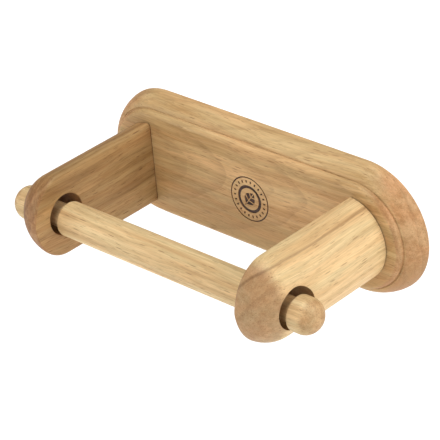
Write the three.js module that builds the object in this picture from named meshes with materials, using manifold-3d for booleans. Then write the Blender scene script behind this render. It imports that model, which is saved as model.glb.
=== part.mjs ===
// Wall-mounted toilet paper holder in solid wood: a stadium-shaped back plate, two half-round arms
// and a loose rod.
// Units are millimetres. X runs along the rod, Y runs back into the wall and Z is up.
// The origin is the centre of the plate's back face, which lies against the wall.
import * as THREE from "three";
import Module from "manifold-3d";
import { mergeVertices } from "three/addons/utils/BufferGeometryUtils.js";

const wasm = await Module();
wasm.setup();

// Driving dimensions
const ROLL_GAP = 127; // between the arms' inner faces, for a roll of 100 to 115
const PLATE_HEIGHT = 68;
const PLATE_THICKNESS = 15;
const BACK_EDGE = 0.8; // chamfer round the plate's back
const BAND_WIDTH = 6.4; // rounded outer band, seen from the front
const BAND_RISE = 11.5; // the band's inner edge, out from the wall
const BAND_FULLNESS = 1.6; // superellipse exponent: 2 is a quarter ellipse, 1 a plain bevel
const STEP_HEIGHT = 0.9; // square step between the band and the raised field
const RIDGE_WIDTH = 2.9; // rounded edge of the raised field
const ARM_INSET = 3; // from the flat field's upper and lower edges to the arm's
const ARM_THICKNESS = 20.5; // from the flat face to the crown of the round side
const ARM_LENGTH = 81; // out from the plate's front face
const NOSE_LENGTH = 19; // rounded stretch at the arm's tip
const HOLE_SETBACK = 20; // rod hole's centre, back from the arm's tip
const HOLE_DROP = 0.5; // rod hole's centre below the arm's middle
const ROD_DIAMETER = 17.5;
const HOLE_CLEARANCE = 3.5; // hole diameter over rod diameter
const ROD_OVERHANG = 12; // rod's tip beyond each arm's round side
const ROD_DOME = 8.2; // rounded stretch at each end of the rod
const NECK_DIAMETER = 12; // thinner stretch of the rod inside each arm
const NECK_START = 1.4; // neck's inner end, in from the arm's flat face
const NECK_END = 1.4; // neck's outer end, below the crown of the arm's round side
const SHOULDER_ROUND = 1.5; // rounded edge where the rod steps down to a neck
const ARM_SCREW_INSET = 8.5; // arm screw's axis, out from the arm's flat face
const ARM_SCREW_EDGE = 10.5; // arm screw's axis, in from the arm's top or bottom edge
const HANGER_SPACING = 90; // between the two keyhole slots, as the wall screws are set
const HANGER_LENGTH = 38;
const HANGER_WIDTH = 16;
const HANGER_THICKNESS = 1.6;
const HANGER_SUNK = 0.4; // hanger's outer face below the plate's back face
const HANGER_SCREW_EDGE = 5; // hanger screw's axis, in from the hanger's end
const KEYHOLE_ENTRY = 9.5; // diameter that the wall screw's head passes
const KEYHOLE_SLOT = 4.6; // width that the wall screw's shank slides up
const KEYHOLE_RISE = 12; // from the entry's centre up to the slot's end
const KEYHOLE_DROP = 5; // entry's centre below the hanger's middle
const POCKET_WIDTH = 12; // hollow in the wood behind the keyhole
const POCKET_DEPTH = 8.8; // hollow's floor, in from the plate's back face

// Clearances
const PIECE_GAP = 0.3; // between pieces that are let into each other
const SLIDE_GAP = 0.05; // under the rod's full diameter, at the height where it slides out
const PILOT_SPARE = 1; // pilot hole beyond the screw's tip

// Screws: the head is countersunk at 90 degrees and the thread is a row of rings
const ARM_SCREW = {
  length: 40,
  headRadius: 4,
  shankRadius: 2.1,
  coreRadius: 1.4,
  pitch: 2.6,
  threads: 8,
  point: 3,
  rim: 0.4,
  sunk: 0.6,
  driveLength: 4.4,
  driveWidth: 0.9,
  driveDepth: 2,
};
const HANGER_SCREW = {
  length: 10,
  headRadius: 2.9,
  shankRadius: 1.5,
  coreRadius: 1,
  pitch: 1.5,
  threads: 4,
  point: 2,
  rim: 0.2,
  sunk: HANGER_SUNK,
  driveLength: 3.2,
  driveWidth: 0.7,
  driveDepth: 1.2,
};

// Facets
const ROUND_SIDES = 48;
const HOLE_SIDES = 32;
const SCREW_SIDES = 12;
const CURVE_STEPS = 7;

// Sizes that follow from the driving dimensions
const PLATE_RADIUS = PLATE_HEIGHT / 2;
const STEP_RADIUS = PLATE_RADIUS - BAND_WIDTH;
const FIELD_RADIUS = STEP_RADIUS - RIDGE_WIDTH;
const ARM_RADIUS = FIELD_RADIUS - ARM_INSET;
const END_CENTRE = ROLL_GAP / 2; // the plate's round ends and the arms' round sides share this centre
const HOLE_RADIUS = (ROD_DIAMETER + HOLE_CLEARANCE) / 2;
const HOLE_Y = -(ARM_LENGTH - HOLE_SETBACK); // from the arm's root
const ROD_HALF_LENGTH = END_CENTRE + ARM_THICKNESS + ROD_OVERHANG;
const ROD_DROP = HOLE_DROP + HOLE_CLEARANCE / 2 - SLIDE_GAP;

// ---- Solids ----

function solid(geometry) {
  const bare = geometry.clone();
  bare.deleteAttribute("normal");
  bare.deleteAttribute("uv");
  const merged = mergeVertices(bare);
  const corners = merged.index.array;
  const triVerts = [];
  for (let i = 0; i < corners.length; i += 3) {
    const [a, b, c] = corners.slice(i, i + 3);
    if (a !== b && b !== c && c !== a) triVerts.push(a, b, c);
  }
  return new wasm.Manifold(
    new wasm.Mesh({
      numProp: 3,
      vertProperties: new Float32Array(merged.attributes.position.array),
      triVerts: new Uint32Array(triVerts),
    }),
  );
}

function piece(name, shape, material) {
  const { vertProperties, triVerts } = shape.getMesh();
  const indexed = new THREE.BufferGeometry();
  indexed.setAttribute("position", new THREE.BufferAttribute(vertProperties, 3));
  indexed.setIndex(new THREE.BufferAttribute(triVerts, 1));
  const geometry = indexed.toNonIndexed();
  geometry.computeVertexNormals();
  const mesh = new THREE.Mesh(geometry, material);
  mesh.name = name;
  return mesh;
}

function vectors(pairs) {
  return pairs.map(([across, y]) => new THREE.Vector2(across, y));
}

// A solid turned round a line along Y, from [radius, y] pairs that run from front to back.
// It is then moved by x, y and z.
function turned(profile, sides, x = 0, y = 0, z = 0) {
  return solid(new THREE.LatheGeometry(vectors(profile), sides).translate(x, y, z));
}

function box(width, depth, height, x, y, z) {
  return solid(new THREE.BoxGeometry(width, depth, height).translate(x, y, z));
}

// A flat plate with an outline in X and Z, centred on x, from backY forward by its depth.
function slab(outline, depth, backY, x = 0) {
  const options = { depth, bevelEnabled: false, curveSegments: HOLE_SIDES / 2 };
  const geometry = new THREE.ExtrudeGeometry(outline, options);
  return solid(geometry.rotateX(Math.PI / 2).translate(x, backY, 0));
}

// An upright stadium outline whose end arcs are centred at lowZ and highZ.
function stadium(width, lowZ, highZ) {
  const radius = width / 2;
  const outline = new THREE.Shape();
  outline.absarc(0, highZ, radius, 0, Math.PI, false);
  outline.absarc(0, lowZ, radius, Math.PI, 2 * Math.PI, false);
  return outline;
}

// Points of a convex curve from [radius, y] = start to end, square to both ends as a superellipse is.
// It leaves the start along Y and meets the end along the radius.
function roundOver([startRadius, startY], [endRadius, endY], exponent) {
  const points = [];
  for (let i = 0; i <= CURVE_STEPS; i++) {
    const angle = (i / CURVE_STEPS) * (Math.PI / 2);
    const across = Math.cos(angle) ** (2 / exponent);
    const along = Math.sin(angle) ** (2 / exponent);
    points.push([
      endRadius + (startRadius - endRadius) * across,
      startY + (endY - startY) * along,
    ]);
  }
  return points;
}

// ---- Materials ----

function wood(colour) {
  return new THREE.MeshStandardMaterial({ color: colour, roughness: 0.6, metalness: 0 });
}

function steel(colour) {
  return new THREE.MeshStandardMaterial({ color: colour, roughness: 0.35, metalness: 1 });
}

// ---- Screws ----

function screwSolid(screw) {
  const { length, headRadius, shankRadius, coreRadius, pitch, threads, point, rim } = screw;
  const profile = [
    [0, 0],
    [headRadius, 0],
    [headRadius, -rim],
    [shankRadius, -rim - (headRadius - shankRadius)],
  ];
  const threadStart = -(length - point - threads * pitch);
  for (let i = 0; i < threads; i++) {
    const y = threadStart - i * pitch;
    profile.push([shankRadius, y], [coreRadius, y - pitch / 2]);
  }
  profile.push([coreRadius, -(length - point)], [0, -length]);
  let shape = turned(profile.reverse(), SCREW_SIDES);
  for (const [width, height] of [
    [screw.driveLength, screw.driveWidth],
    [screw.driveWidth, screw.driveLength],
  ]) {
    shape = shape.subtract(box(width, 2 * screw.driveDepth, height, 0, 0, 0));
  }
  return shape;
}

// The hole that a screw needs in everything it passes; backY is the place of the plate's back face.
function screwHole(screw, x, z, backY = 0) {
  const head = screw.headRadius + PIECE_GAP;
  const shank = screw.shankRadius + PIECE_GAP;
  const rimY = -(screw.sunk + screw.rim);
  const bottom = -(screw.sunk + screw.length + PILOT_SPARE);
  const profile = [
    [0, bottom],
    [shank, bottom],
    [shank, rimY - (head - shank)],
    [head, rimY],
    [head, PILOT_SPARE],
    [0, PILOT_SPARE],
  ];
  return turned(profile, SCREW_SIDES, x, backY, z);
}

function screwPiece(name, screw, x, z) {
  const mesh = piece(name, screwSolid(screw), steel(0xb9b7b0));
  mesh.position.set(x, -screw.sunk, z);
  return mesh;
}

const SIDES = [
  { side: "left", sign: -1 },
  { side: "right", sign: 1 },
];
const ENDS = [
  { end: "upper", sign: 1 },
  { end: "lower", sign: -1 },
];

const ARM_SCREW_X = END_CENTRE + ARM_SCREW_INSET;
const ARM_SCREW_Z = ARM_RADIUS - ARM_SCREW_EDGE;
const HANGER_X = HANGER_SPACING / 2;
const HANGER_SCREW_Z = HANGER_LENGTH / 2 - HANGER_SCREW_EDGE;

// ---- Back plate ----

// Half of the plate's section: from the middle of its front face, round its moulded edge, to the
// middle of its back.
function plateProfile() {
  const stepTop = [STEP_RADIUS, -(BAND_RISE + STEP_HEIGHT)];
  const ridge = roundOver(stepTop, [FIELD_RADIUS, -PLATE_THICKNESS], 2);
  const band = roundOver([PLATE_RADIUS, -BACK_EDGE], [STEP_RADIUS, -BAND_RISE], BAND_FULLNESS);
  const backEdge = [PLATE_RADIUS - BACK_EDGE, 0];
  return [[0, -PLATE_THICKNESS], ...ridge.reverse(), ...band.reverse(), backEdge, [0, 0]];
}

function plateBlank() {
  const profile = plateProfile();
  const half = profile.slice(1, -1);
  const otherHalf = half.map(([across, y]) => [-across, y]).reverse();
  const section = new THREE.Shape(vectors([...half, ...otherHalf]));
  const options = { depth: 2 * END_CENTRE, bevelEnabled: false };
  const middle = new THREE.ExtrudeGeometry(section, options);
  middle.rotateY(Math.PI / 2).translate(-END_CENTRE, 0, 0);
  const leftEnd = turned(profile, ROUND_SIDES, -END_CENTRE);
  const rightEnd = turned(profile, ROUND_SIDES, END_CENTRE);
  return solid(middle).add(leftEnd).add(rightEnd);
}

// The recess that takes a hanger, and the deeper hollow behind its keyhole for the wall screw's head.
function hangerRecess(x) {
  const width = HANGER_WIDTH + 2 * PIECE_GAP;
  const arcZ = (HANGER_LENGTH - HANGER_WIDTH) / 2;
  const recessDepth = HANGER_SUNK + HANGER_THICKNESS + PIECE_GAP;
  const recess = slab(stadium(width, -arcZ, arcZ), recessDepth + PILOT_SPARE, PILOT_SPARE, x);
  const outline = stadium(POCKET_WIDTH, -KEYHOLE_DROP, KEYHOLE_RISE - KEYHOLE_DROP);
  const pocket = slab(outline, POCKET_DEPTH + PILOT_SPARE, PILOT_SPARE, x);
  return recess.add(pocket);
}

function backPlate() {
  let shape = plateBlank();
  for (const { sign } of SIDES) {
    shape = shape.subtract(hangerRecess(sign * HANGER_X));
    for (const { sign: up } of ENDS) {
      shape = shape.subtract(screwHole(ARM_SCREW, sign * ARM_SCREW_X, up * ARM_SCREW_Z));
      shape = shape.subtract(screwHole(HANGER_SCREW, sign * HANGER_X, up * HANGER_SCREW_Z));
    }
  }
  return piece("back_plate", shape, wood(0xcda877));
}

// ---- Arms ----

// An arm with its root at y = 0, its flat face at x = 0 and its round side towards +X.
function armSolid() {
  const nose = roundOver([ARM_RADIUS, -(ARM_LENGTH - NOSE_LENGTH)], [0, -ARM_LENGTH], 2);
  const profile = vectors([...nose.reverse(), [ARM_RADIUS, 0], [0, 0]]);
  const turning = new THREE.LatheGeometry(profile, ROUND_SIDES);
  const round = solid(turning.scale(ARM_THICKNESS / ARM_RADIUS, 1, 1));
  const otherHalf = box(2 * ARM_RADIUS, 3 * ARM_LENGTH, 3 * ARM_RADIUS, -ARM_RADIUS, 0, 0);
  const bore = new THREE.CylinderGeometry(HOLE_RADIUS, HOLE_RADIUS, 4 * ARM_RADIUS, HOLE_SIDES);
  let shape = round.subtract(otherHalf);
  shape = shape.subtract(solid(bore.rotateZ(Math.PI / 2).translate(0, HOLE_Y, -HOLE_DROP)));
  for (const { sign } of ENDS) {
    shape = shape.subtract(screwHole(ARM_SCREW, ARM_SCREW_INSET, sign * ARM_SCREW_Z, PLATE_THICKNESS));
  }
  return shape;
}

function arm(side, sign) {
  const mesh = piece(`${side}_arm`, armSolid(), wood(0xdcb987));
  mesh.position.set(sign * END_CENTRE, -PLATE_THICKNESS, 0);
  mesh.scale.x = sign; // the left arm is the right one's mirror image
  return mesh;
}

// ---- Rod ----

// The rod's outline steps down to a neck at the given distance from its middle.
// towards is 1 where the full diameter lies further out than the neck, and -1 where it lies further in.
function shoulder(distance, towards) {
  const radius = ROD_DIAMETER / 2;
  const full = [radius, -(distance + towards * SHOULDER_ROUND)];
  const edge = roundOver(full, [radius - SHOULDER_ROUND, -distance], 2);
  return [...edge, [NECK_DIAMETER / 2, -distance]];
}

function rollerRod() {
  const radius = ROD_DIAMETER / 2;
  const dome = roundOver([radius, -(ROD_HALF_LENGTH - ROD_DOME)], [0, -ROD_HALF_LENGTH], 2);
  const knobShoulder = shoulder(END_CENTRE + ARM_THICKNESS - NECK_END, 1);
  const bodyShoulder = shoulder(END_CENTRE - NECK_START, -1);
  const front = [...dome.reverse(), ...knobShoulder, ...bodyShoulder.reverse()];
  const back = front.map(([r, y]) => [r, -y]).reverse();
  const mesh = piece("roller_rod", turned([...front, ...back], HOLE_SIDES), wood(0xe3c08c));
  mesh.rotation.z = Math.PI / 2;
  mesh.position.set(0, HOLE_Y - PLATE_THICKNESS, -ROD_DROP);
  return mesh;
}

// ---- Keyhole hangers ----

function hangerSolid() {
  const arcZ = (HANGER_LENGTH - HANGER_WIDTH) / 2;
  const through = 3 * HANGER_THICKNESS;
  let shape = slab(stadium(HANGER_WIDTH, -arcZ, arcZ), HANGER_THICKNESS, -HANGER_SUNK);
  const entry = stadium(KEYHOLE_ENTRY, -KEYHOLE_DROP, -KEYHOLE_DROP);
  const slotEnd = KEYHOLE_RISE - KEYHOLE_DROP;
  shape = shape.subtract(slab(entry, through, HANGER_THICKNESS));
  shape = shape.subtract(slab(stadium(KEYHOLE_SLOT, -KEYHOLE_DROP, slotEnd), through, HANGER_THICKNESS));
  for (const { sign } of ENDS) {
    shape = shape.subtract(screwHole(HANGER_SCREW, 0, sign * HANGER_SCREW_Z));
  }
  return shape;
}

function hanger(side, sign) {
  const mesh = piece(`${side}_hanger_plate`, hangerSolid(), steel(0xc9b06a));
  mesh.position.x = sign * HANGER_X;
  return mesh;
}

// ---- Assembly ----

const holder = new THREE.Group();
holder.name = "toilet_paper_holder";
holder.add(backPlate());
holder.add(rollerRod());
for (const { side, sign } of SIDES) {
  holder.add(arm(side, sign));
  holder.add(hanger(side, sign));
  for (const { end, sign: up } of ENDS) {
    const armScrewName = `${side}_arm_${end}_screw`;
    const hangerScrewName = `${side}_hanger_${end}_screw`;
    holder.add(screwPiece(armScrewName, ARM_SCREW, sign * ARM_SCREW_X, up * ARM_SCREW_Z));
    holder.add(screwPiece(hangerScrewName, HANGER_SCREW, sign * HANGER_X, up * HANGER_SCREW_Z));
  }
}

export default holder;
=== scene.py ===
"""Wall-mounted toilet paper holder in light hardwood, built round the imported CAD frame. Units are metres."""

import math

import bmesh
import bpy
from mathutils import Matrix, Vector


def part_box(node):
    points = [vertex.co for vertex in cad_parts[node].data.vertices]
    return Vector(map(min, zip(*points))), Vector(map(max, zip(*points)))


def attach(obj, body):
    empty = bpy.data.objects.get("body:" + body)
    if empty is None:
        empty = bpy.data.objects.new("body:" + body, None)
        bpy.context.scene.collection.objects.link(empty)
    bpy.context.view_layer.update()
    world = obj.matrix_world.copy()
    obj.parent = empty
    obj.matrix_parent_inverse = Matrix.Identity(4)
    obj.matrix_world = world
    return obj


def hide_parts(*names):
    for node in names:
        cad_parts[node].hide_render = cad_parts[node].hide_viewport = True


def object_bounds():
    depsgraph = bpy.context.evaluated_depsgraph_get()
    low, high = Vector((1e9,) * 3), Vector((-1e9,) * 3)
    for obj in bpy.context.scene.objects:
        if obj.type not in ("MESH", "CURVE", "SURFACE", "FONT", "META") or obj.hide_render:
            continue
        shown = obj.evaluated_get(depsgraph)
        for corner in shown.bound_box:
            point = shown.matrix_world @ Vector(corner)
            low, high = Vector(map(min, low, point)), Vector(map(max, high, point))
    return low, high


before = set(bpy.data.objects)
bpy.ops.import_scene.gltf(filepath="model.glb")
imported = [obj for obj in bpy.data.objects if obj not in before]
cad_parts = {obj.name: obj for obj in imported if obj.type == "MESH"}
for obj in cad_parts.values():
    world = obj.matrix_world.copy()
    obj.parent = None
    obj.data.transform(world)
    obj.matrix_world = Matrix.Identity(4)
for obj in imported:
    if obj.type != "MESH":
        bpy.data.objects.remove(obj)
cad_low, cad_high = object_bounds()

MM = 0.001
X_AXIS, Y_AXIS = 0, 1

# ---- Places and sizes, from the frame ----

plate_low, plate_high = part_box("back_plate")
arm_low, arm_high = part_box("right_arm")
rod_low, rod_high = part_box("roller_rod")
rod_centre = (rod_low + rod_high) / 2
hanger_low, hanger_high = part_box("right_hanger_plate")
arm_screw_low, arm_screw_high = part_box("right_arm_upper_screw")
hanger_screw_low, hanger_screw_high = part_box("right_hanger_upper_screw")

PLATE_RADIUS = plate_high.z
PLATE_FRONT = plate_low.y
END_CENTRE = arm_low.x
ARM_RADIUS = arm_high.z
ARM_THICKNESS = arm_high.x - arm_low.x
ARM_LENGTH = arm_high.y - arm_low.y
ROD_RADIUS = (rod_high.z - rod_low.z) / 2

# Sizes inside a piece, which its box doesn't give
BAND_WIDTH = 6.4 * MM
BAND_RISE = 11.5 * MM
BAND_FULLNESS = 1.6
STEP_HEIGHT = 0.9 * MM
RIDGE_WIDTH = 2.9 * MM
BACK_EDGE = 0.8 * MM
QUIRK_DEPTH = 0.25 * MM  # soft groove at the foot of the step
QUIRK_WIDTH = 0.7 * MM
NOSE_LENGTH = 19 * MM
HOLE_RADIUS = 10.5 * MM
HOLE_DROP = 0.5 * MM
ROD_DOME = 8.2 * MM
NECK_RADIUS = 6 * MM  # thinner stretch of the rod through each arm
NECK_START = 1.4 * MM  # neck's inner end, short of the arm's flat face, in the space for the roll
NECK_END = 1.4 * MM  # neck's outer end, below the crown of the arm's round side
SHOULDER_ROUND = 1.5 * MM
ARM_EDGE = 1.5 * MM  # eased edge between the arm's flat face and its round side
ARM_EDGE_LIMIT = 0.3  # the most that this edge takes of the half height, near the nose's tip
SEAM_EDGE = 0.35 * MM  # eased edge round the arm's root, which shows as a thin dark seam
HOLE_EDGE = 0.3 * MM  # eased rim of the rod's hole
CUT_SPARE = 1 * MM  # how far a cutting tool stands out of the face that it opens
HOLE_SPARE = 6 * MM  # the same for the rod's hole, at the arm's flat face

# How finely each curve is drawn
LARGE_ROUND = 96
SCREW_ROUND = 48
SCREW_HOLE_ROUND = 40
PLATE_END_STEPS = 48
PLATE_SIDE_STEPS = 16
HANGER_END_STEPS = 32
SLOT_END_STEPS = 20
RIDGE_STEPS = 12
BAND_STEPS = 24
QUIRK_STEPS = 6
ARM_FLAT_STEPS = 10
ARM_EDGE_STEPS = 4
ARM_ROUND_STEPS = 56
ARM_STRAIGHT_RINGS = 24
ARM_NOSE_RINGS = 26
DOME_STEPS = 20
SHOULDER_STEPS = 8
ROD_MIDDLE_RINGS = 30

# Distances too small to tell apart, and the share of its section that an arm's tip comes to a point at
SAME_PLACE = 1e-7
ON_AXIS = 1e-9
AT_TIP = 1e-6

# An edge that turns by more than this many degrees is drawn sharp
WOOD_SMOOTH = 35
HANGER_SMOOTH = 30
SCREW_SMOOTH = 25


# ---- Mesh helpers ----

def retouch(made, material, smooth_below=WOOD_SMOOTH):
    """Sets smooth faces, sharp edges where faces meet at more than an angle, and one material."""
    mesh = made.data
    mesh.polygons.foreach_set("use_smooth", [True] * len(mesh.polygons))
    mesh.set_sharp_from_angle(angle=math.radians(smooth_below))
    mesh.polygons.foreach_set("material_index", [0] * len(mesh.polygons))
    mesh.materials.clear()
    if material:
        mesh.materials.append(material)
    return made


def finished(name, bm, material=None, smooth_below=WOOD_SMOOTH):
    """Turns a bmesh into an object. A cutting tool needs no material."""
    bmesh.ops.remove_doubles(bm, verts=bm.verts, dist=SAME_PLACE)
    bmesh.ops.recalc_face_normals(bm, faces=bm.faces)
    mesh = bpy.data.meshes.new(name)
    bm.to_mesh(mesh)
    bm.free()
    made = bpy.data.objects.new(name, mesh)
    bpy.context.scene.collection.objects.link(made)
    return retouch(made, material, smooth_below)


def loft(rings):
    """Joins equal rings of points into a closed skin. A ring of one point closes the skin to a tip."""
    bm = bmesh.new()
    made = [[bm.verts.new(p) for p in ring] for ring in rings]
    for a, b in zip(made, made[1:]):
        count = max(len(a), len(b))
        for i in range(count):
            j = (i + 1) % count
            if len(a) == 1:
                bm.faces.new((a[0], b[i], b[j]))
            elif len(b) == 1:
                bm.faces.new((a[i], b[0], a[j]))
            else:
                bm.faces.new((a[i], b[i], b[j], a[j]))
    for end in (made[0], made[-1]):
        if len(end) > 1:
            bm.faces.new(end)
    return bm


def round_over(start, end, exponent, steps):
    """Points of a convex curve from (radius, y) start to end, along Y at the start and across at the end."""
    points = []
    for i in range(steps + 1):
        angle = i / steps * math.pi / 2
        across = max(math.cos(angle), 0) ** (2 / exponent)
        along = math.sin(angle) ** (2 / exponent)
        points.append((
            end[0] + (start[0] - end[0]) * across,
            start[1] + (end[1] - start[1]) * along,
        ))
    return points


def turned(profile, sides, centre, axis=Y_AXIS):
    """A bmesh turned from (radius, distance along the axis) pairs that start and end on the axis."""
    rings = []
    for radius, along in profile:
        count = sides if radius > ON_AXIS else 1
        ring = []
        for i in range(count):
            angle = 2 * math.pi * i / count
            a, b = radius * math.cos(angle), radius * math.sin(angle)
            point = Vector((a, along, b)) if axis == Y_AXIS else Vector((along, a, b))
            ring.append(point + Vector(centre))
        rings.append(ring)
    return loft(rings)


def stadium_ring(radius, half_span, y, arc_steps, straight_steps=1, upright=False, centre=(0, 0)):
    """Points round a stadium outline at y: half circles at +half_span and -half_span, along X or upright."""
    points = []
    for turn in (1, -1):
        for i in range(arc_steps + 1):
            angle = math.pi / 2 - math.pi * i / arc_steps
            points.append((turn * (half_span + radius * math.cos(angle)), turn * radius * math.sin(angle)))
        for i in range(1, straight_steps):
            share = 1 - 2 * i / straight_steps
            points.append((turn * half_span * share, -turn * radius))
    if upright:
        points = [(-b, a) for a, b in points]
    return [(centre[0] + a, y, centre[1] + b) for a, b in points]


def cut(target, *tools):
    """Subtracts each tool from the target's mesh and removes the tool."""
    for tool in tools:
        modifier = target.modifiers.new("cut", "BOOLEAN")
        modifier.operation = "DIFFERENCE"
        modifier.solver = "EXACT"
        modifier.object = tool
        bpy.context.view_layer.update()
        evaluated = target.evaluated_get(bpy.context.evaluated_depsgraph_get())
        mesh = bpy.data.meshes.new_from_object(evaluated)
        target.modifiers.clear()
        target.data = mesh
        bpy.data.objects.remove(tool)


# ---- Node helpers ----

def linear(red, green, blue):
    """A colour from screen values of 0 to 255 to the linear values that shaders use."""
    def channel(value):
        share = value / 255
        return share / 12.92 if share <= 0.04045 else ((share + 0.055) / 1.055) ** 2.4
    return (channel(red), channel(green), channel(blue), 1)


def node(tree, kind, inputs=(), **settings):
    made = tree.nodes.new("ShaderNode" + kind)
    for key, value in settings.items():
        setattr(made, key, value)
    pairs = inputs.items() if isinstance(inputs, dict) else enumerate(inputs)
    for socket, value in pairs:
        if isinstance(value, bpy.types.NodeSocket):
            tree.links.new(value, made.inputs[socket])
        else:
            made.inputs[socket].default_value = value
    return made


def maths(tree, operation, *values):
    return node(tree, "Math", values, operation=operation).outputs[0]


def vector_maths(tree, operation, *values):
    made = node(tree, "VectorMath", values, operation=operation)
    return made.outputs["Value" if operation == "LENGTH" else "Vector"]


def noise(tree, vector, scale, detail, roughness=0.5):
    inputs = {"Vector": vector, "Scale": scale, "Detail": detail, "Roughness": roughness}
    return node(tree, "TexNoise", inputs).outputs


def between(tree, value, low, high, to_low=0, to_high=1):
    inputs = (value, low, high, to_low, to_high)
    return node(tree, "MapRange", inputs, clamp=True, interpolation_type="SMOOTHSTEP").outputs[0]


def mix(tree, factor, a, b, blend="MIX"):
    made = node(tree, "Mix", data_type="RGBA", blend_type=blend)
    for index, value in ((0, factor), (6, a), (7, b)):
        if isinstance(value, bpy.types.NodeSocket):
            tree.links.new(value, made.inputs[index])
        else:
            made.inputs[index].default_value = value
    return made.outputs[2]


def new_material(name):
    material = bpy.data.materials.new(name)
    material.use_nodes = True
    tree = material.node_tree
    tree.nodes.clear()
    shader = node(tree, "BsdfPrincipled")
    output = node(tree, "OutputMaterial")
    tree.links.new(shader.outputs[0], output.inputs["Surface"])
    return material, tree, shader


# ---- Materials ----

# Noise steps per metre, along the grain and across it
WANDER_SCALE = (9, 24)
PATCH_SCALE = (9, 55)
STREAK_SCALE = (14, 420)
FIBRE_SCALE = (70, 2600)
HUE_SCALE = (14, 130)
COARSE_PORE_SCALE = (95, 1000)
FINE_PORE_SCALE = (150, 1750)
CHAR_SCALE = (90, 900)

FIBRE_WANDER = 10 * MM  # how far the fibres stray across the grain
RING_LINE = (0.1 * MM, 1.1 * MM)  # a bold ring is full up to the first distance and gone at the second
BOLD_RING_DEPTH = 0.55
SEAM_SHADE_LINE = (0.3 * MM, 0.7 * MM)  # painted shade: the dark line where a piece meets another, standing in for the shade in that seam, in the same way
SEAM_SHADE_DEPTH = 0.75
SEAM_SHADE_COLOUR = (74, 46, 26)
LATE_WOOD = (0.68, 0.62, 0.55)  # shares of the dark colour
PORE_TINT = (0.64, 0.52, 0.42)
WARM_TINT = (1.05, 0.965, 0.87, 1)
COOL_TINT = (0.985, 1.0, 0.94, 1)
FINE_PORE_SHARE = 0.75
CLOUD_SCALE = 260


def along_grain(grain, along, across):
    scale = [across] * 3
    scale[grain] = along
    return scale


def stretched(tree, place, grain, scale):
    """The place scaled by a pair of values, along the grain and across it."""
    return vector_maths(tree, "MULTIPLY", place, along_grain(grain, *scale))


def toned(colour, shares):
    """A screen colour with each channel multiplied by a share, as a linear colour."""
    return linear(*[channel * share for channel, share in zip(colour, shares)])


def pore_layer(tree, place, grain, scale, size):
    """Dashes of uneven length and strength, one in each stretched cell."""
    place = stretched(tree, place, grain, scale)
    cells = node(tree, "TexVoronoi", {"Vector": place, "Scale": 1, "Randomness": 1})
    which = node(tree, "SeparateColor", (cells.outputs["Color"],))
    reach = maths(tree, "MULTIPLY", size, maths(tree, "MULTIPLY_ADD", which.outputs[0], 0.5, 0.6))
    nearness = maths(tree, "DIVIDE", cells.outputs["Distance"], reach)
    strength = maths(tree, "MULTIPLY_ADD", which.outputs[1], 0.7, 0.3)
    return maths(tree, "MULTIPLY", between(tree, nearness, 1, 0.5), strength)


def growth_rings(tree, radius, spacing, depth, bold_ring):
    """A slow change of tone that ends in a thin darker line, each ring with its own strength."""
    turns = maths(tree, "DIVIDE", radius, spacing)
    ring = maths(tree, "FRACT", turns)
    late = maths(tree, "MULTIPLY", between(tree, ring, 0.5, 0.97), between(tree, ring, 1.0, 0.97))
    which = node(tree, "TexWhiteNoise", {"W": maths(tree, "FLOOR", turns)}, noise_dimensions="1D")
    strength = maths(tree, "MULTIPLY_ADD", which.outputs["Value"], 0.7, 0.3)
    late = maths(tree, "MULTIPLY", late, strength)
    late = maths(tree, "MULTIPLY", late, depth)
    if bold_ring:
        off_ring = maths(tree, "ABSOLUTE", maths(tree, "SUBTRACT", radius, bold_ring))
        line = between(tree, off_ring, RING_LINE[1], RING_LINE[0], 0, BOLD_RING_DEPTH)
        late = maths(tree, "MAXIMUM", late, line)
    return late


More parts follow.
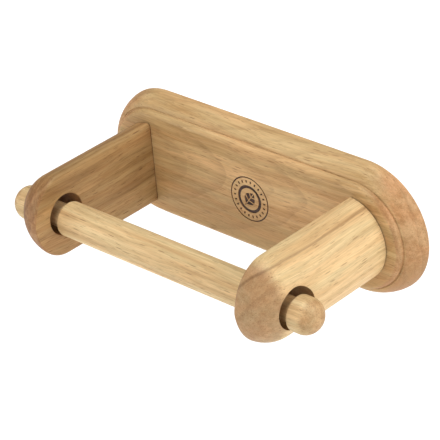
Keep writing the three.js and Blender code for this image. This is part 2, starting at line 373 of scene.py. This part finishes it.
def wood(
    name, grain, light, dark, end_tint, offset, pith,
    ring_spacing=7 * MM, ring_depth=0.3, bold_ring=None, pore_depth=0.6, painted_underside_shade=None, root=None, lean=0,
):
    """Open-pored hardwood as a solid texture, so faces across the grain show the same fibres end on.

    grain is the axis of the fibres, and pith is a point on the tree's centre line that sets the rings' sweep.
    bold_ring is the radius of one ring that stands out. The underside argument paints shade: it darkens the
    piece towards its bottom between the heights that it gives, by the amount that it gives last. root is where
    along the grain the piece meets another, where a thin dark line paints the shade in that seam. lean tilts
    the tree's centre line against the grain, which draws the rings out into arches.
    """
    material, tree, shader = new_material(name)
    coordinates = node(tree, "TexCoord")
    true_place = coordinates.outputs["Object"]
    axes = node(tree, "SeparateXYZ", (true_place,))
    place = vector_maths(tree, "ADD", true_place, offset)

    # The fibres wander a little across the grain.
    wander = noise(tree, stretched(tree, place, grain, WANDER_SCALE), 1, 2)["Color"]
    centred = vector_maths(tree, "SUBTRACT", wander, (0.5, 0.5, 0.5))
    place = vector_maths(tree, "ADD", place, stretched(tree, centred, grain, (0, FIBRE_WANDER)))

    # Growth rings round the pith.
    from_pith = vector_maths(tree, "SUBTRACT", place, [a + b for a, b in zip(pith, offset)])
    radius = vector_maths(tree, "LENGTH", stretched(tree, from_pith, grain, (0, 1)))
    radius = maths(tree, "MULTIPLY_ADD", axes.outputs[grain], lean, radius)
    late = growth_rings(tree, radius, ring_spacing, ring_depth, bold_ring)

    # Broad patches, streaks and fine fibres, all stretched along the grain.
    patch = noise(tree, stretched(tree, place, grain, PATCH_SCALE), 1, 2)[0]
    streak = noise(tree, stretched(tree, place, grain, STREAK_SCALE), 1, 5, 0.68)[0]
    fibre = noise(tree, stretched(tree, place, grain, FIBRE_SCALE), 1, 2, 0.6)[0]

    # Open pores: slim dashes along the grain, which are dots where the grain is cut across.
    coarse_size = between(tree, patch, 0.35, 0.65, 0.20, 0.31)
    coarse = pore_layer(tree, place, grain, COARSE_PORE_SCALE, coarse_size)
    fine_size = between(tree, streak, 0.3, 0.7, 0.36, 0.22)
    fine_pores = pore_layer(tree, place, grain, FINE_PORE_SCALE, fine_size)
    pores = maths(tree, "MAXIMUM", coarse, maths(tree, "MULTIPLY", fine_pores, FINE_PORE_SHARE))

    # Tone and hue.
    broad = between(tree, patch, 0.3, 0.7, 0.12, 0.62)
    tone = maths(tree, "ADD", broad, between(tree, streak, 0.32, 0.68, -0.3, 0.5))
    # Painted shade: the piece darkens towards its bottom, where less light falls.
    if painted_underside_shade:
        low, high, amount = painted_underside_shade
        tone = maths(tree, "SUBTRACT", tone, between(tree, axes.outputs[2], high, low, 0, amount))
    colour = mix(tree, tone, linear(*dark), linear(*light))
    colour = mix(tree, late, colour, toned(dark, LATE_WOOD))
    hue = noise(tree, stretched(tree, place, grain, HUE_SCALE), 1, 3, 0.6)[0]
    tint = mix(tree, between(tree, hue, 0.35, 0.65), WARM_TINT, COOL_TINT)
    colour = mix(tree, 1, colour, tint, "MULTIPLY")
    fine = between(tree, fibre, 0.3, 0.7, 0.87, 1.07)
    grey = node(tree, "CombineColor", (fine, fine, fine)).outputs[0]
    colour = mix(tree, 1, colour, grey, "MULTIPLY")
    colour = mix(tree, maths(tree, "MULTIPLY", pores, pore_depth), colour, toned(dark, PORE_TINT))

    # Faces across the grain soak up more oil, so they are darker and pinker.
    facing = stretched(tree, coordinates.outputs["Normal"], grain, (1, 0))
    end_grain = between(tree, vector_maths(tree, "LENGTH", facing), 0.16, 0.5)
    colour = mix(tree, end_grain, colour, mix(tree, 1, colour, linear(*end_tint), "MULTIPLY"))
    # Painted shade: a thin dark line where the piece meets another, standing in for the shade in that seam.
    if root is not None:
        off_shaded_seam = maths(tree, "ABSOLUTE", maths(tree, "SUBTRACT", axes.outputs[grain], root))
        line = between(tree, off_shaded_seam, SEAM_SHADE_LINE[1], SEAM_SHADE_LINE[0], 0, SEAM_SHADE_DEPTH)
        colour = mix(tree, line, colour, linear(*SEAM_SHADE_COLOUR))
    tree.links.new(colour, shader.inputs["Base Color"])

    satin = between(tree, streak, 0.3, 0.7, 0.58, 0.5)
    tree.links.new(maths(tree, "MULTIPLY_ADD", pores, 0.2, satin), shader.inputs["Roughness"])
    height = maths(tree, "SUBTRACT", maths(tree, "MULTIPLY", fibre, 0.3), maths(tree, "MULTIPLY", pores, 0.5))
    bump = node(tree, "Bump", {"Strength": 0.3, "Distance": 0.3 * MM, "Height": height})
    tree.links.new(bump.outputs[0], shader.inputs["Normal"])
    shader.inputs["Specular IOR Level"].default_value = 0.3
    return material


def plated_steel(name, light, dark, smoothest, roughest, brushed):
    """Zinc-plated steel: a cloudy plating and fine scratches along one axis."""
    material, tree, shader = new_material(name)
    coordinates = node(tree, "TexCoord")
    place = coordinates.outputs["Object"]
    cloud = noise(tree, place, CLOUD_SCALE, 4, 0.6)[0]
    scratches = noise(tree, vector_maths(tree, "MULTIPLY", place, brushed), 1, 3, 0.7)[0]
    colour = mix(tree, between(tree, cloud, 0.3, 0.7), linear(*dark), linear(*light))
    tree.links.new(colour, shader.inputs["Base Color"])
    tree.links.new(between(tree, scratches, 0.3, 0.7, smoothest, roughest), shader.inputs["Roughness"])
    bump = node(tree, "Bump", {"Strength": 0.25, "Distance": 0.1 * MM, "Height": scratches})
    tree.links.new(bump.outputs[0], shader.inputs["Normal"])
    shader.inputs["Metallic"].default_value = 1
    return material


def burnt_wood():
    """The scorched floor of the burnt mark: dark brown, a little uneven, with the grain still showing."""
    material, tree, shader = new_material("burnt_wood")
    coordinates = node(tree, "TexCoord")
    char = noise(tree, stretched(tree, coordinates.outputs["Object"], X_AXIS, CHAR_SCALE), 1, 4, 0.6)[0]
    colour = mix(tree, between(tree, char, 0.3, 0.72), linear(32, 18, 11), linear(76, 46, 28))
    tree.links.new(colour, shader.inputs["Base Color"])
    tree.links.new(between(tree, char, 0.3, 0.7, 0.75, 0.6), shader.inputs["Roughness"])
    bump = node(tree, "Bump", {"Strength": 0.4, "Distance": 0.2 * MM, "Height": char})
    tree.links.new(bump.outputs[0], shader.inputs["Normal"])
    return material


# The plate's darker bottom is painted shade, for light that falls mostly from above.
plate_wood = wood(
    "plate_wood", X_AXIS, light=(212, 179, 133), dark=(182, 146, 99), end_tint=(240, 226, 224),
    offset=(0.31, 0.12, 0.45), pith=(0, 45 * MM, 4 * MM), ring_spacing=3.6 * MM, ring_depth=0.2,
    painted_underside_shade=(-30 * MM, 12 * MM, 0.75), lean=0.14,
)
# The left arm's darker colours are partly its own wood and partly painted shade, for its shaded inner face.
left_arm_wood_and_painted_shade = wood(
    "left_arm_wood_and_painted_shade", Y_AXIS, light=(178, 143, 97), dark=(144, 108, 66), end_tint=(246, 234, 232),
    offset=(0.72, 0.33, 0.21), pith=(-130 * MM, 0, 30 * MM), pore_depth=0.7, root=PLATE_FRONT,
)
right_arm_wood = wood(
    "right_arm_wood", Y_AXIS, light=(226, 198, 152), dark=(202, 170, 124), end_tint=(206, 194, 190),
    offset=(0.15, 0.64, 0.38), pith=(109 * MM, 0, -30 * MM), ring_spacing=7.5 * MM, ring_depth=0.15,
    bold_ring=60 * MM, root=PLATE_FRONT,
)
rod_wood = wood(
    "rod_wood", X_AXIS, light=(224, 197, 152), dark=(188, 155, 110), end_tint=(232, 224, 220),
    offset=(0.53, 0.27, 0.66), pith=(0, -20 * MM, 70 * MM), ring_depth=0.2,
)
zinc = plated_steel("zinc", (206, 205, 200), (172, 171, 168), 0.24, 0.42, (900, 40, 900))
yellow_zinc = plated_steel("yellow_zinc", (214, 186, 118), (178, 160, 112), 0.26, 0.46, (900, 900, 60))
burnt = burnt_wood()


# ---- Back plate ----

FIT_GAP = 0.3 * MM
HANGER_SUNK = -hanger_high.y
HANGER_DEPTH = -hanger_low.y
KEYHOLE_ENTRY = 9.5 * MM
KEYHOLE_SLOT = 4.6 * MM
KEYHOLE_DROP = 5 * MM  # centre of the round entry, below the plate's middle
KEYHOLE_TOP = 7 * MM  # centre of the slot's upper end, above it
POCKET_WIDTH = 12 * MM  # room behind the keyhole for the wall screw's head
POCKET_DEPTH = 8.8 * MM
ARM_SCREW_SUNK = -arm_screw_high.y
ARM_SCREW_HEAD = (arm_screw_high.z - arm_screw_low.z) / 2
ARM_SCREW_SHANK = 2.1 * MM
HANGER_SCREW_HEAD = (hanger_screw_high.z - hanger_screw_low.z) / 2
HANGER_SCREW_SHANK = 1.5 * MM
SIDES = {"left": -1, "right": 1}
ENDS = {"upper": 1, "lower": -1}


def plate_profile():
    """Half of the plate's section as (radius, y), from the front field round the moulded edge to the back."""
    step_radius = PLATE_RADIUS - BAND_WIDTH
    field_radius = step_radius - RIDGE_WIDTH
    step_foot = -(BAND_RISE + STEP_HEIGHT)
    ridge = round_over((step_radius, step_foot), (field_radius, PLATE_FRONT), 2, RIDGE_STEPS)
    band_top = (step_radius + QUIRK_WIDTH, -BAND_RISE)
    band = round_over((PLATE_RADIUS, -BACK_EDGE), band_top, BAND_FULLNESS, BAND_STEPS)
    groove = []
    for i in range(QUIRK_STEPS):
        swing = math.pi * i / QUIRK_STEPS
        groove.append((
            step_radius + QUIRK_WIDTH * (1 - math.cos(swing)) / 2,
            -BAND_RISE + QUIRK_DEPTH * math.sin(swing),
        ))
    return ridge[::-1] + groove + band[::-1] + [(PLATE_RADIUS - BACK_EDGE, 0)]


def screw_tool(low, high, sunk, head_radius, shank_radius):
    """The countersunk hole that a screw needs, opening at the plate's back face."""
    centre = ((low.x + high.x) / 2, 0, (low.z + high.z) / 2)
    head, shank = head_radius + FIT_GAP, shank_radius + FIT_GAP
    profile = [
        (0, low.y - CUT_SPARE), (shank, low.y - CUT_SPARE),
        (shank, -sunk - (head - shank)), (head, -sunk), (head, CUT_SPARE), (0, CUT_SPARE),
    ]
    return finished("tool", turned(profile, SCREW_HOLE_ROUND, centre))


def mirrored(low, high, flip_x, flip_z):
    """A box's corners on the chosen side and end."""
    xs = sorted((flip_x * low.x, flip_x * high.x))
    zs = sorted((flip_z * low.z, flip_z * high.z))
    return Vector((xs[0], low.y, zs[0])), Vector((xs[1], high.y, zs[1]))


def stadium_tool(width, low_z, high_z, x, back, front):
    half_span = (high_z - low_z) / 2
    centre = (x, (low_z + high_z) / 2)
    rings = [stadium_ring(width / 2, half_span, y, SLOT_END_STEPS, 1, True, centre) for y in (back, front)]
    return finished("tool", loft(rings))


def make_back_plate():
    rings = [stadium_ring(r, END_CENTRE, y, PLATE_END_STEPS, PLATE_SIDE_STEPS) for r, y in plate_profile()]
    plate = finished("plate_board", loft(rings), plate_wood)
    hanger_x = (hanger_low.x + hanger_high.x) / 2
    recess_width = hanger_high.x - hanger_low.x + 2 * FIT_GAP
    recess_arc = (hanger_high.z - hanger_low.z) / 2 - recess_width / 2 + FIT_GAP
    for side in SIDES.values():
        x = side * hanger_x
        cut(
            plate,
            stadium_tool(recess_width, -recess_arc, recess_arc, x, CUT_SPARE, -HANGER_DEPTH - FIT_GAP),
            stadium_tool(POCKET_WIDTH, -KEYHOLE_DROP, KEYHOLE_TOP, x, CUT_SPARE, -POCKET_DEPTH),
        )
        for end in ENDS.values():
            low, high = mirrored(arm_screw_low, arm_screw_high, side, end)
            cut(plate, screw_tool(low, high, ARM_SCREW_SUNK, ARM_SCREW_HEAD, ARM_SCREW_SHANK))
            low, high = mirrored(hanger_screw_low, hanger_screw_high, side, end)
            cut(plate, screw_tool(low, high, HANGER_SUNK, HANGER_SCREW_HEAD, HANGER_SCREW_SHANK))
    retouch(plate, plate_wood)
    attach(plate, "holder")
    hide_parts("back_plate")
    return plate


# ---- Arms ----

def arm_section(distance, side):
    """Points round the arm's D-shaped section at a distance from its root."""
    into_nose = max(0, (distance - (ARM_LENGTH - NOSE_LENGTH)) / NOSE_LENGTH)
    share = math.sqrt(max(0, 1 - into_nose**2))
    y = PLATE_FRONT - distance
    if share < AT_TIP:
        return [(side * END_CENTRE, y, 0)]
    height, depth = ARM_RADIUS * share, ARM_THICKNESS * share
    edge = min(ARM_EDGE, ARM_EDGE_LIMIT * height)
    half = []
    for i in range(ARM_EDGE_STEPS):
        angle = math.pi / 2 * i / ARM_EDGE_STEPS
        half.append((edge * (1 - math.cos(angle)), height - edge * (1 - math.sin(angle))))
    start = math.acos(edge / depth)
    arc = []
    for i in range(ARM_ROUND_STEPS + 1):
        angle = start - 2 * start * i / ARM_ROUND_STEPS
        arc.append((depth * math.cos(angle), height * math.sin(angle)))
    flat = []
    for i in range(1, ARM_FLAT_STEPS):
        flat.append((0, (height - edge) * (2 * i / ARM_FLAT_STEPS - 1)))
    outline = half + arc + [(x, -z) for x, z in half[::-1]] + flat
    return [(side * (END_CENTRE + x), y, z) for x, z in outline]


def shrunk(ring, by):
    """A copy of a ring drawn in towards its middle by about the given distance."""
    middle = sum((Vector(p) for p in ring), Vector()) / len(ring)
    return [Vector(p) + (middle - Vector(p)).normalized() * by for p in ring]


def make_arm(name, side, material):
    straight = ARM_LENGTH - NOSE_LENGTH
    distances = [SEAM_EDGE] + [straight * i / ARM_STRAIGHT_RINGS for i in range(1, ARM_STRAIGHT_RINGS + 1)]
    for i in range(1, ARM_NOSE_RINGS + 1):
        distances.append(straight + NOSE_LENGTH * math.sin(math.pi / 2 * i / ARM_NOSE_RINGS))
    rings = [shrunk(arm_section(0, side), SEAM_EDGE)] + [arm_section(d, side) for d in distances]
    arm = finished(f"{name}_block", loft(rings), material)
    tool_profile = [
        (0, -HOLE_SPARE), (HOLE_RADIUS + HOLE_EDGE, -HOLE_SPARE), (HOLE_RADIUS + HOLE_EDGE, 0),
        (HOLE_RADIUS, HOLE_EDGE), (HOLE_RADIUS, 2 * ARM_THICKNESS), (0, 2 * ARM_THICKNESS),
    ]
    along_x = [(radius, side * (END_CENTRE + x)) for radius, x in tool_profile]
    centre = (0, rod_centre.y, -HOLE_DROP)
    cut(arm, finished("tool", turned(along_x, LARGE_ROUND, centre, X_AXIS)))
    for end in ENDS.values():
        low, high = mirrored(arm_screw_low, arm_screw_high, side, end)
        cut(arm, screw_tool(low, high, ARM_SCREW_SUNK, ARM_SCREW_HEAD, ARM_SCREW_SHANK))
    retouch(arm, material)
    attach(arm, "holder")
    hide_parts(name)


# ---- Rod ----

def shoulder(distance, towards):
    """The rod's outline where it steps down to a neck: towards is 1 if the full diameter lies further out."""
    full = (ROD_RADIUS, distance + towards * SHOULDER_ROUND)
    face = (ROD_RADIUS - SHOULDER_ROUND, distance)
    return round_over(full, face, 2, SHOULDER_STEPS) + [(NECK_RADIUS, distance)]


def make_rod():
    half = rod_high.x
    dome = round_over((ROD_RADIUS, half - ROD_DOME), (0, half), 2, DOME_STEPS)
    knob_shoulder = shoulder(END_CENTRE + ARM_THICKNESS - NECK_END, 1)
    body_shoulder = shoulder(END_CENTRE - NECK_START, -1)
    end = dome[::-1] + knob_shoulder + body_shoulder[::-1]
    body_end = body_shoulder[0][1]
    middle = [(ROD_RADIUS, body_end * (1 - 2 * i / ROD_MIDDLE_RINGS)) for i in range(1, ROD_MIDDLE_RINGS)]
    profile = end + middle + [(r, -x) for r, x in end[::-1]]
    centre = (0, rod_centre.y, rod_centre.z)
    rod = finished("dowel_rod", turned(profile, LARGE_ROUND, centre, X_AXIS), rod_wood)
    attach(rod, "rod")
    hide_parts("roller_rod")


# ---- Burnt mark ----

MARK_CENTRE = (0, -0.5 * MM)
MARK_DEPTH = 0.3 * MM
MARK_FIT = 0.01 * MM  # each burnt ring lies this far inside its recess
BURNT_HALF = 0.05 * MM  # half the thickness of the burnt floor
OUTER_RING = (12 * MM, 11.3 * MM)
INNER_RING = (7.4 * MM, 5.8 * MM)
BAR_COUNT = 22  # short bars that fill the space between the two rings
BAR_REACH = (10.1 * MM, 8.7 * MM)
BAR_WIDTH = 0.9 * MM
LEAF_LENGTH = 8.8 * MM
LEAF_WIDTH = 6.6 * MM
LEAF_TILT = 52
LEAF_SEGMENTS = 3
LEAF_BELLY = 0.85  # below 1, the leaf is widest nearer its stem
LEAF_STEPS = 8
LEAF_SPAN = (0.02, 0.99)  # where the segments begin and end, as shares of the leaf's length
LEAF_TIP = 0.995
VEIN_SPREAD = 0.88  # share of the leaf's length from which the side veins leave
VEIN_SLANT = 0.16
VEIN_GAP = 0.4 * MM
THINNEST = 0.6 * VEIN_GAP
STEM_LENGTH = 1 * MM
STEM_FLARE = 1.3


def leaf_segment(k, flank):
    """Outline of one segment, with the leaf along X and its flank at 1 or -1 in Y."""
    start = k / LEAF_SEGMENTS * VEIN_SPREAD + (VEIN_GAP / LEAF_LENGTH if k else LEAF_SPAN[0])
    stop = (k + 1) / LEAF_SEGMENTS * VEIN_SPREAD if k < LEAF_SEGMENTS - 1 else LEAF_SPAN[1]
    outline = []
    for i in range(LEAF_STEPS + 1):
        u = start + (stop - start) * i / LEAF_STEPS
        slanted = min(u + VEIN_SLANT * math.sin(math.pi * u), LEAF_TIP)
        half_width = LEAF_WIDTH / 2 * math.sin(math.pi * slanted**LEAF_BELLY)
        outline.append((slanted, max(half_width, THINNEST)))
    outline += [(stop, VEIN_GAP / 2), (start, VEIN_GAP / 2)]
    return [((u - 0.5) * LEAF_LENGTH, flank * v) for u, v in outline][::flank]


def leaf_pieces():
    """Outlines in X and Z of a plain leaf's segments and stem: the gaps between them are its veins."""
    pieces = [leaf_segment(k, flank) for flank in (1, -1) for k in range(LEAF_SEGMENTS)]
    foot, end = -LEAF_LENGTH / 2, -LEAF_LENGTH / 2 - STEM_LENGTH
    narrow = VEIN_GAP / 2
    wide = STEM_FLARE * narrow
    pieces.append([(foot, -narrow), (foot, narrow), (end, wide), (end, -wide)])
    turn = Matrix.Rotation(math.radians(LEAF_TILT), 2)
    to_middle = Vector((STEM_LENGTH / 2, 0))
    placed = []
    for outline in pieces:
        points = [turn @ (Vector(p) + to_middle) for p in outline]
        placed.append([(MARK_CENTRE[0] + p.x, MARK_CENTRE[1] + p.y) for p in points])
    return placed


def add_prism(bm, outline, front, back):
    """Adds a closed slab with an outline in X and Z between two depths."""
    near = [bm.verts.new((x, front, z)) for x, z in outline]
    far = [bm.verts.new((x, back, z)) for x, z in outline]
    bm.faces.new(near)
    bm.faces.new(far[::-1])
    for i in range(len(outline)):
        j = (i + 1) % len(outline)
        bm.faces.new((near[j], near[i], far[i], far[j]))


def add_ring(bm, outer, inner, front, back):
    """Adds a flat ring round the mark's centre between two depths."""
    loops = []
    for radius, y in ((outer, front), (outer, back), (inner, back), (inner, front)):
        loop = []
        for i in range(LARGE_ROUND):
            angle = 2 * math.pi * i / LARGE_ROUND
            x, z = MARK_CENTRE[0] + radius * math.cos(angle), MARK_CENTRE[1] + radius * math.sin(angle)
            loop.append(bm.verts.new((x, y, z)))
        loops.append(loop)
    for a, b in zip(loops, loops[1:] + loops[:1]):
        for i in range(LARGE_ROUND):
            j = (i + 1) % LARGE_ROUND
            bm.faces.new((a[i], a[j], b[j], b[i]))


def bar_outline(index):
    """Outline in X and Z of one short bar that points at the mark's centre."""
    angle = 2 * math.pi * index / BAR_COUNT
    outward = Vector((math.cos(angle), math.sin(angle)))
    sideways = Vector((-math.sin(angle), math.cos(angle)))
    outline = []
    for reach, side in ((0, 1), (1, 1), (1, -1), (0, -1)):
        point = Vector(MARK_CENTRE) + outward * BAR_REACH[reach] + sideways * (side * BAR_WIDTH / 2)
        outline.append((point.x, point.y))
    return outline


def mark_shape(name, inset, front, back, material=None):
    bm = bmesh.new()
    for outer, inner in (OUTER_RING, INNER_RING):
        add_ring(bm, outer - inset, inner + inset, front, back)
    for outline in leaf_pieces() + [bar_outline(i) for i in range(BAR_COUNT)]:
        add_prism(bm, outline, front, back)
    return finished(name, bm, material)


def make_mark(plate):
    """Sinks the mark into the plate's front and lays a thin burnt floor in it."""
    floor = PLATE_FRONT + MARK_DEPTH
    cut(plate, mark_shape("tool", 0, PLATE_FRONT - CUT_SPARE, floor))
    burnt_floor = mark_shape("leaf_mark", MARK_FIT, floor - BURNT_HALF, floor + BURNT_HALF, burnt)
    retouch(plate, plate_wood)
    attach(burnt_floor, "holder")


# ---- Screws and hangers ----

HEAD_EDGE = 0.15 * MM
HANGER_EDGE = 0.25 * MM
DRIVE_SPARE = 0.3 * MM  # how far the cross's tool stands out of the head
DRIVE_TAPER = 0.55  # the cross's width at its bottom, as a share of its width at the top
# Where a thread's crest ends, and its root begins and ends, as shares of its pitch
CREST_END = 0.12
ROOT_START = 0.5
ROOT_END = 0.62
ARM_SCREW = {
    "shank": ARM_SCREW_SHANK, "core": 1.4 * MM, "pitch": 2.6 * MM, "threads": 8, "point": 3 * MM,
    "rim": 0.4 * MM, "drive": (4.4 * MM, 0.9 * MM, 2 * MM),
}
HANGER_SCREW = {
    "shank": HANGER_SCREW_SHANK, "core": 1 * MM, "pitch": 1.5 * MM, "threads": 4, "point": 2 * MM,
    "rim": 0.2 * MM, "drive": (3.2 * MM, 0.7 * MM, 1.2 * MM),
}


def drive_tool(centre, face_y, length, width, depth):
    """A tapered cross for a screw's head, as two crossed wedges."""
    tools = []
    for across, up in ((length, width), (width, length)):
        rings = []
        for y, share in ((face_y + DRIVE_SPARE, 1), (face_y - depth, DRIVE_TAPER)):
            a, b = share * across / 2, share * up / 2
            corners = ((1, 1), (-1, 1), (-1, -1), (1, -1))
            rings.append([(centre[0] + sx * a, y, centre[1] + sz * b) for sx, sz in corners])
        tools.append(finished("tool", loft(rings)))
    return tools


def make_screw(name, shank, core, pitch, threads, point, rim, drive):
    low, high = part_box(name)
    head = (high.z - low.z) / 2
    centre = ((low.x + high.x) / 2, (low.z + high.z) / 2)
    profile = [(0, high.y), (head - HEAD_EDGE, high.y), (head, high.y - HEAD_EDGE), (head, high.y - rim)]
    profile.append((shank, high.y - rim - (head - shank)))
    first_crest = low.y + point + threads * pitch
    for i in range(threads):
        y = first_crest - i * pitch
        profile += [(shank, y), (shank, y - CREST_END * pitch)]
        profile += [(core, y - ROOT_START * pitch), (core, y - ROOT_END * pitch)]
    profile += [(core, low.y + point), (0, low.y)]
    bm = turned(profile, SCREW_ROUND, (centre[0], 0, centre[1]))
    screw = finished(f"{name}_steel", bm, zinc, SCREW_SMOOTH)
    cut(screw, *drive_tool(centre, high.y, *drive))
    retouch(screw, zinc, SCREW_SMOOTH)
    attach(screw, "holder")
    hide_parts(name)


def make_hanger(side_name, side):
    name = f"{side_name}_hanger_plate"
    low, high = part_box(name)
    x = (low.x + high.x) / 2
    width, arc = high.x - low.x, (high.z - low.z) / 2 - (high.x - low.x) / 2
    eased = HANGER_EDGE
    rings = []
    for inset, y in ((eased, low.y), (0, low.y + eased), (0, high.y - eased), (eased, high.y)):
        rings.append(stadium_ring(width / 2 - inset, arc, y, HANGER_END_STEPS, 1, True, (x, 0)))
    plate = finished(f"{name}_steel", loft(rings), yellow_zinc, HANGER_SMOOTH)
    back, front = high.y + CUT_SPARE, low.y - CUT_SPARE
    entry = [(0, front), (KEYHOLE_ENTRY / 2, front), (KEYHOLE_ENTRY / 2, back), (0, back)]
    slot = stadium_tool(KEYHOLE_SLOT, -KEYHOLE_DROP, KEYHOLE_TOP, x, back, front)
    cut(plate, finished("tool", turned(entry, SCREW_ROUND, (x, 0, -KEYHOLE_DROP))), slot)
    for end in ENDS.values():
        screw_low, screw_high = mirrored(hanger_screw_low, hanger_screw_high, side, end)
        cut(plate, screw_tool(screw_low, screw_high, HANGER_SUNK, HANGER_SCREW_HEAD, HANGER_SCREW_SHANK))
    retouch(plate, yellow_zinc, HANGER_SMOOTH)
    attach(plate, "holder")
    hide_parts(name)


back_plate = make_back_plate()
make_mark(back_plate)
make_arm("left_arm", -1, left_arm_wood_and_painted_shade)
make_arm("right_arm", 1, right_arm_wood)
make_rod()
for side_name, side in SIDES.items():
    make_hanger(side_name, side)
    for end_name in ENDS:
        make_screw(f"{side_name}_arm_{end_name}_screw", **ARM_SCREW)
        make_screw(f"{side_name}_hanger_{end_name}_screw", **HANGER_SCREW)


# ---- Camera, lights and floor ----

CAMERA_TARGET = Vector((0.005, -0.0412, 0.0022))
CAMERA_AZIMUTH = 45.07
CAMERA_ELEVATION = 29.85
CAMERA_ROLL = -5.23
CAMERA_DISTANCE = 1.058
CAMERA_LENS = 184.3
SENSOR_WIDTH = 36
CAMERA_REACH = 50
LIGHT_SIZE = 0.9
FLOOR_HEIGHT = -0.42
FLOOR_HALF = 6
FLOOR_GLOW = 0.3
WORLD_GLOW = 0.12
WHITE = (1, 1, 1, 1)


def make_camera():
    azimuth, elevation = math.radians(CAMERA_AZIMUTH), math.radians(CAMERA_ELEVATION)
    back = Vector((
        math.sin(azimuth) * math.cos(elevation),
        -math.cos(azimuth) * math.cos(elevation),
        math.sin(elevation),
    ))
    data = bpy.data.cameras.new("camera")
    data.lens = CAMERA_LENS
    data.sensor_width = SENSOR_WIDTH
    data.clip_end = CAMERA_REACH
    camera = bpy.data.objects.new("camera", data)
    bpy.context.scene.collection.objects.link(camera)
    turn = (-back).to_track_quat("-Z", "Y").to_matrix().to_4x4()
    roll = Matrix.Rotation(math.radians(CAMERA_ROLL), 4, "Z")
    camera.matrix_world = Matrix.Translation(CAMERA_TARGET + back * CAMERA_DISTANCE) @ turn @ roll
    bpy.context.scene.camera = camera


def make_light(name, place, aim, power):
    data = bpy.data.lights.new(name, "AREA")
    data.size = LIGHT_SIZE
    data.energy = power
    light = bpy.data.objects.new(name, data)
    bpy.context.scene.collection.objects.link(light)
    light.location = place
    light.rotation_mode = "QUATERNION"
    light.rotation_quaternion = (Vector(aim) - Vector(place)).to_track_quat("-Z", "Y")


def make_floor():
    bm = bmesh.new()
    corners = ((-1, -1), (1, -1), (1, 1), (-1, 1))
    bm.faces.new([bm.verts.new((x * FLOOR_HALF, y * FLOOR_HALF, FLOOR_HEIGHT)) for x, y in corners])
    material, tree, shader = new_material("pale_floor")
    shader.inputs["Base Color"].default_value = (0.93, 0.93, 0.92, 1)
    shader.inputs["Roughness"].default_value = 0.9
    shader.inputs["Emission Color"].default_value = WHITE
    shader.inputs["Emission Strength"].default_value = FLOOR_GLOW
    finished("floor", bm, material)


def make_world():
    world = bpy.data.worlds.new("studio")
    world.use_nodes = True
    background = world.node_tree.nodes["Background"]
    background.inputs["Color"].default_value = WHITE
    background.inputs["Strength"].default_value = WORLD_GLOW
    bpy.context.scene.world = world


make_camera()
make_world()
make_floor()
middle = (cad_low + cad_high) / 2
make_light("top", (0, -0.1, 1.5), middle, 16)
make_light("back_right", (1.15, 0.55, 0.8), middle, 9.5)
make_light("low_right", (1.45, -0.3, 0.25), middle, 7.6)
make_light("low_front", (0.2, -1.45, 0.25), middle, 5.4)
make_light("low_left", (-1.15, -0.95, 0.3), middle, 7.5)
make_light("floor_behind", (-0.9, 0.9, 0.15), (-0.9, 0.9, -1), 2.4)
bpy.context.scene.view_settings.view_transform = "Standard"
